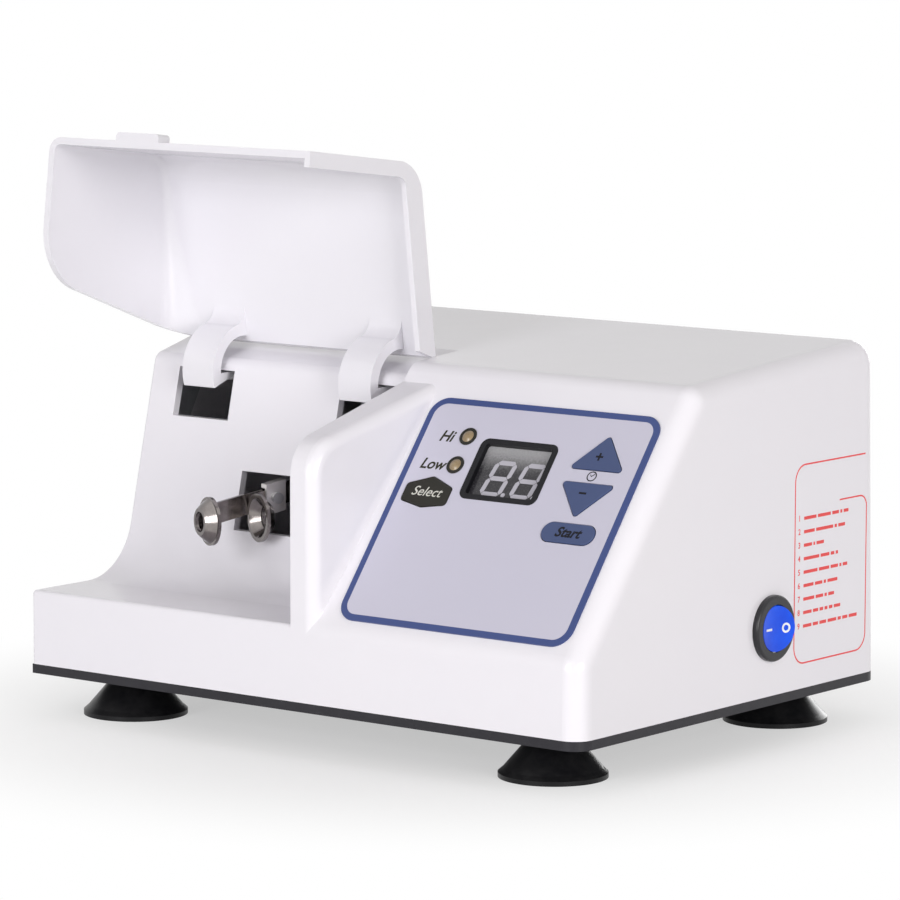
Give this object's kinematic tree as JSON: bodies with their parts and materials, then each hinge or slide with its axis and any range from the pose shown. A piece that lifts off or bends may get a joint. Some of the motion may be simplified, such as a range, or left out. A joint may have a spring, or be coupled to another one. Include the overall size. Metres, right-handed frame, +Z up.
{
  "type": "dental amalgamator",
  "caption": "Bench capsule mixer with a hinged guard over its mixing bay, a sloped key panel with a display, a round rocker switch and suction feet.",
  "frame": {"origin": "middle of the footprint at the table, under the suction feet", "axes": "+X to the right along the front, from the mixing bay to the console; +Y to the rear; +Z up"},
  "size_m": [0.2464, 0.1822, 0.2073],
  "materials": {
    "arm_bright": "bright plated sheet",
    "base_dark": "satin dark paint",
    "black_plastic": "fine matt black",
    "board_green": "green laminate",
    "bracket_zinc": "zinc plated sheet",
    "bush_brass": "turned",
    "coil_tape": "yellow winding tape",
    "core_iron": "lacquered laminations",
    "foot_rubber": "smooth black rubber",
    "hub_aluminium": "machined",
    "key_blue": "mid blue film",
    "key_olive": "dark olive film",
    "led_amber": "amber diffused",
    "motor_steel": "satin black",
    "overlay_film": "pale lavender-grey film with a blue border",
    "rocker_blue": "translucent blue",
    "shell_white": "glossy moulded white",
    "standoff_brass": "turned",
    "steel": "plain bright steel",
    "switch_black": "glossy black",
    "terminal_cream": "matt cream",
    "window_smoke": "smoked clear pane"
  },
  "bodies": {
    "body": {"base_plate": "base_dark", "base_screws": "steel", "board_chips": "black_plastic", "board_screws": "steel", "board_standoffs": "standoff_brass", "centring_springs": "steel", "control_board": "board_green", "display_module": "black_plastic", "display_window": "window_smoke", "foot_front_left": "foot_rubber", "foot_front_right": "foot_rubber", "foot_rear_left": "foot_rubber", "foot_rear_right": "foot_rubber", "foot_screws": "steel", "fuse_cap": "black_plastic", "fuse_holder": "black_plastic", "hinge_bracket_left": "bracket_zinc", "hinge_bracket_right": "bracket_zinc", "led_hi": "led_amber", "led_low": "led_amber", "lid_hinge_rod": "steel", "lid_microswitch": "black_plastic", "mains_inlet": "black_plastic", "motor_bracket": "bracket_zinc", "motor_can": "motor_steel", "motor_end_cap": "hub_aluminium", "motor_grommets": "foot_rubber", "motor_screws": "steel", "panel_overlay": "overlay_film", "rocker_pin": "steel", "spring_bracket": "bracket_zinc", "switch_body": "switch_black", "tact_switches": "black_plastic", "terminal_block": "terminal_cream", "top_housing": "shell_white", "transformer_coil": "coil_tape", "transformer_core": "core_iron"},
    "lid": {"lid_shell": "shell_white", "lid_arm_left": "shell_white", "lid_arm_right": "shell_white"},
    "rocker": {"switch_rocker": "rocker_blue"},
    "lever": {"microswitch_lever": "steel"},
    "rotor": {"motor_shaft": "steel", "wobble_bush": "bush_brass"},
    "mixer_arm": {"mixer_hub": "hub_aluminium", "mixing_arm": "arm_bright", "rear_cup": "arm_bright", "clamp_bracket": "arm_bright", "clamp_screw": "steel", "arm_screws": "steel"},
    "key_select": {"key_select": "key_olive", "tact_plunger_select": "black_plastic"},
    "key_plus": {"key_plus": "key_blue", "tact_plunger_plus": "black_plastic"},
    "key_minus": {"key_minus": "key_blue", "tact_plunger_minus": "black_plastic"},
    "key_start": {"key_start": "key_blue", "tact_plunger_start": "black_plastic"}
  },
  "joints": [
    {"name": "lid_hinge", "type": "hinge", "parent": "body", "child": "lid", "pos_m": [0, -0.01584, 0.1188], "axis": [1, 0, 0], "range_deg": [0, 97]},
    {"name": "rocker_tilt", "type": "hinge", "parent": "body", "child": "rocker", "pos_m": [0.11912, 0.01926, 0.0414], "axis": [0, 0, 1], "range_deg": [0, 20]},
    {"name": "lever_press", "type": "hinge", "parent": "body", "child": "lever", "pos_m": [-0.01918, 0.01269, 0.10276], "axis": [1, 0, 0], "range_deg": [0, 5], "stiffness_Nm_per_rad": 0.05, "springref_deg": -2.86},
    {"name": "motor_spin", "type": "hinge", "parent": "body", "child": "rotor", "pos_m": [-0.03617, 0.00096, 0.0798], "axis": [1, 0, 0], "continuous": true},
    {"name": "arm_swing", "type": "hinge", "parent": "body", "child": "mixer_arm", "pos_m": [-0.03617, 0.00096, 0.0798], "axis": [0, 0, 1], "range_deg": [-6, 6], "stiffness_Nm_per_rad": 1, "deforming": ["centring_springs"]},
    {"name": "select_press", "type": "slide", "parent": "body", "child": "key_select", "axis": [0, 0.7862, -0.618], "range_m": [0, 0.0005], "stiffness_N_per_m": 1500, "springref_m": -0.0002},
    {"name": "plus_press", "type": "slide", "parent": "body", "child": "key_plus", "axis": [0, 0.7862, -0.618], "range_m": [0, 0.0005], "stiffness_N_per_m": 1500, "springref_m": -0.0002},
    {"name": "minus_press", "type": "slide", "parent": "body", "child": "key_minus", "axis": [0, 0.7862, -0.618], "range_m": [0, 0.0005], "stiffness_N_per_m": 1500, "springref_m": -0.0002},
    {"name": "start_press", "type": "slide", "parent": "body", "child": "key_start", "axis": [0, 0.7862, -0.618], "range_m": [0, 0.0005], "stiffness_N_per_m": 1500, "springref_m": -0.0002}
  ]
}
